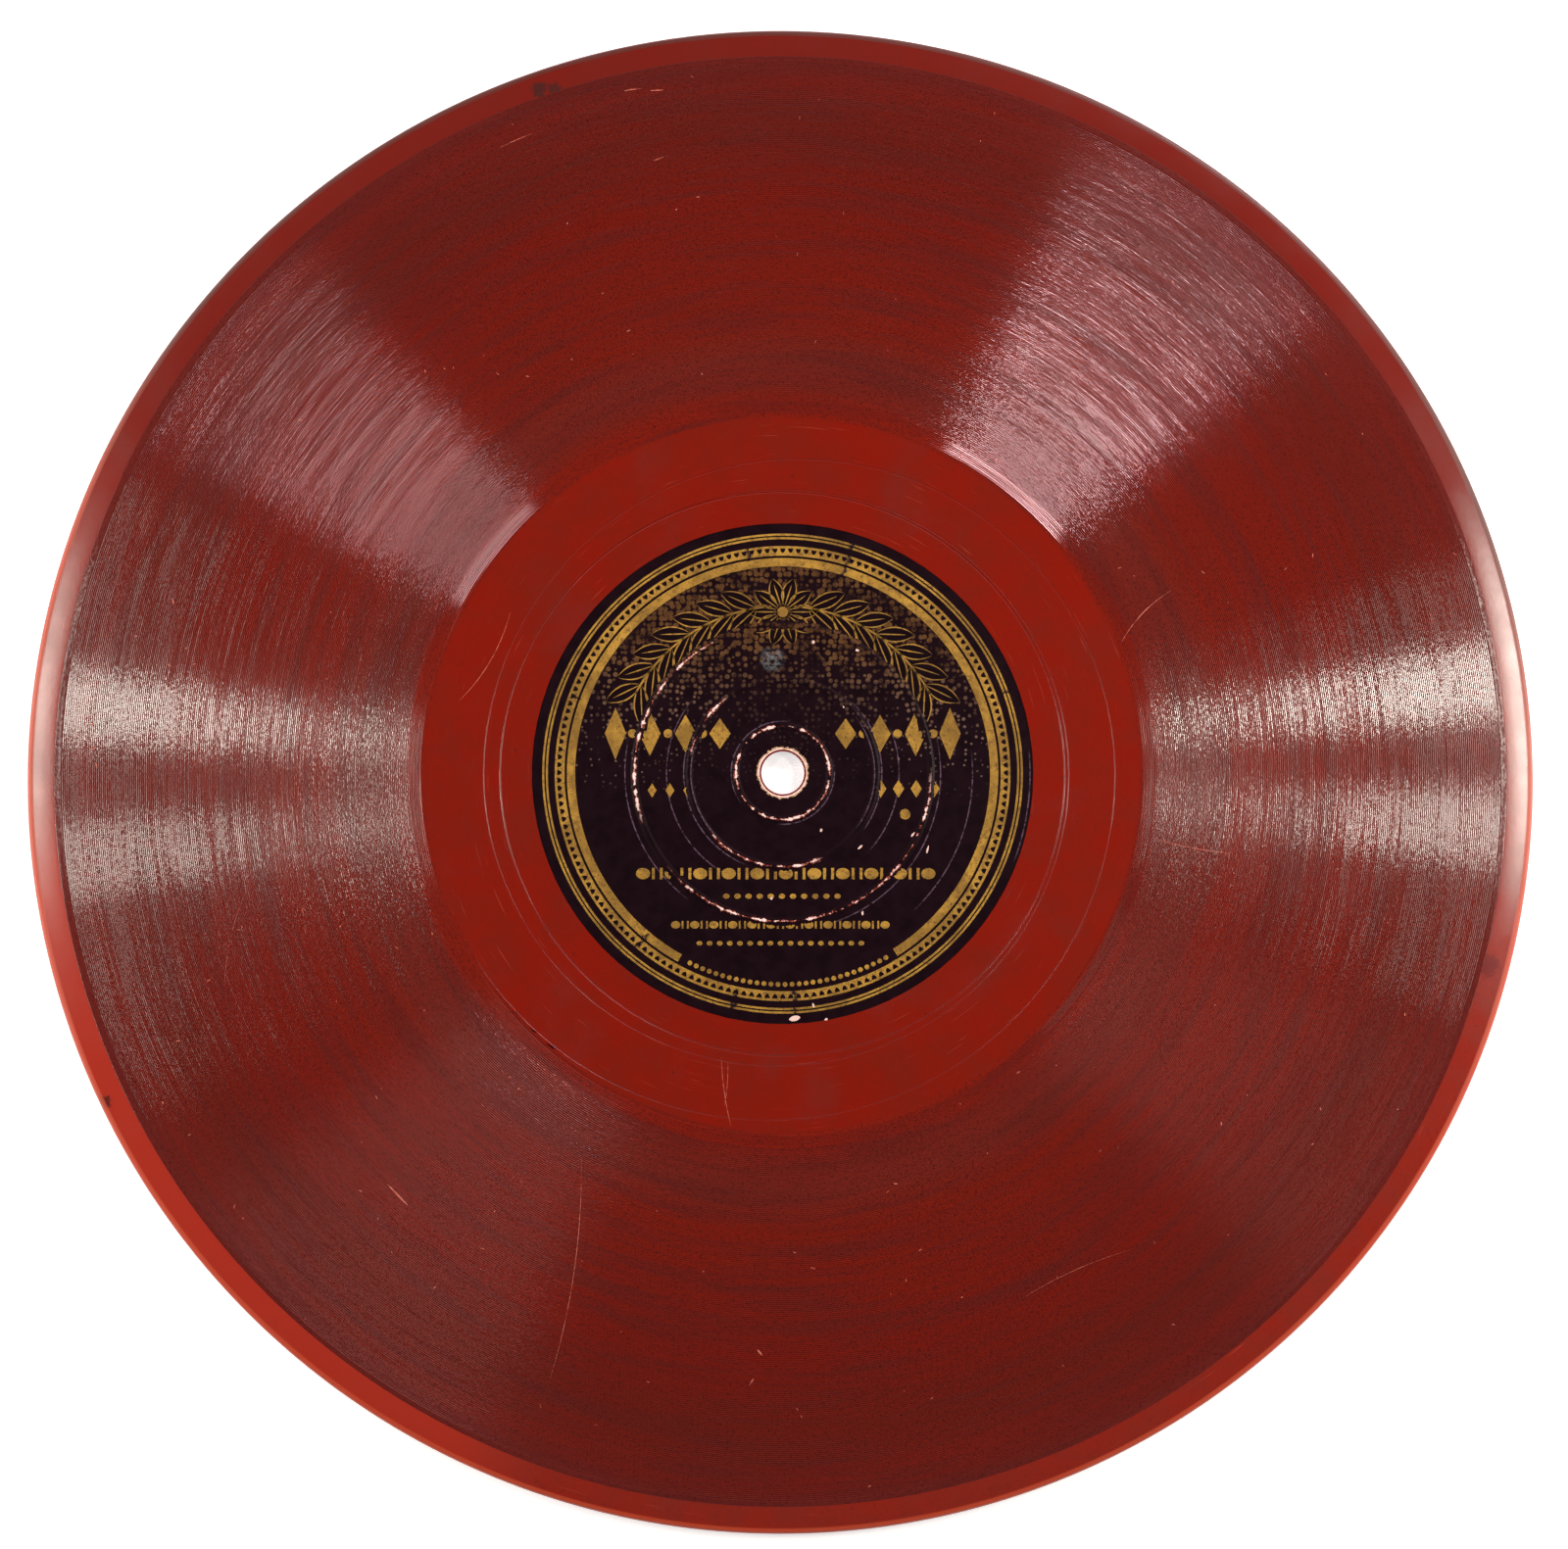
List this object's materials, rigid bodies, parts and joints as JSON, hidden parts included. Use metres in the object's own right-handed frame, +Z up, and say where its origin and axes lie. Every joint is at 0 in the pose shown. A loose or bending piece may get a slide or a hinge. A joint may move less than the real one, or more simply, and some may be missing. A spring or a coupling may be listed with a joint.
{
  "type": "shellac record",
  "caption": "Flat round shellac record with a spiral groove in each face that leads out to a closed groove, a spindle hole, and a paper label pressed into each face.",
  "frame": {"origin": "on the spindle hole's axis, in the plane that the disc rests on", "axes": "+Z up out of the front face along the spindle hole, +Y to the top of the front label, +X to its right"},
  "size_m": [0.254, 0.254, 0.0021],
  "materials": {
    "shellac": "pressed and polished red-brown shellac compound, fine concentric grooves",
    "front_paper": "dark purple printed paper with gold ink, rubbed through on its raised rings",
    "back_paper": "dark purple printed paper with gold ink, rubbed through on its raised rings"
  },
  "bodies": {
    "root": {"shellac_disc": "shellac", "front_label": "front_paper", "back_label": "back_paper"}
  },
  "joints": []
}
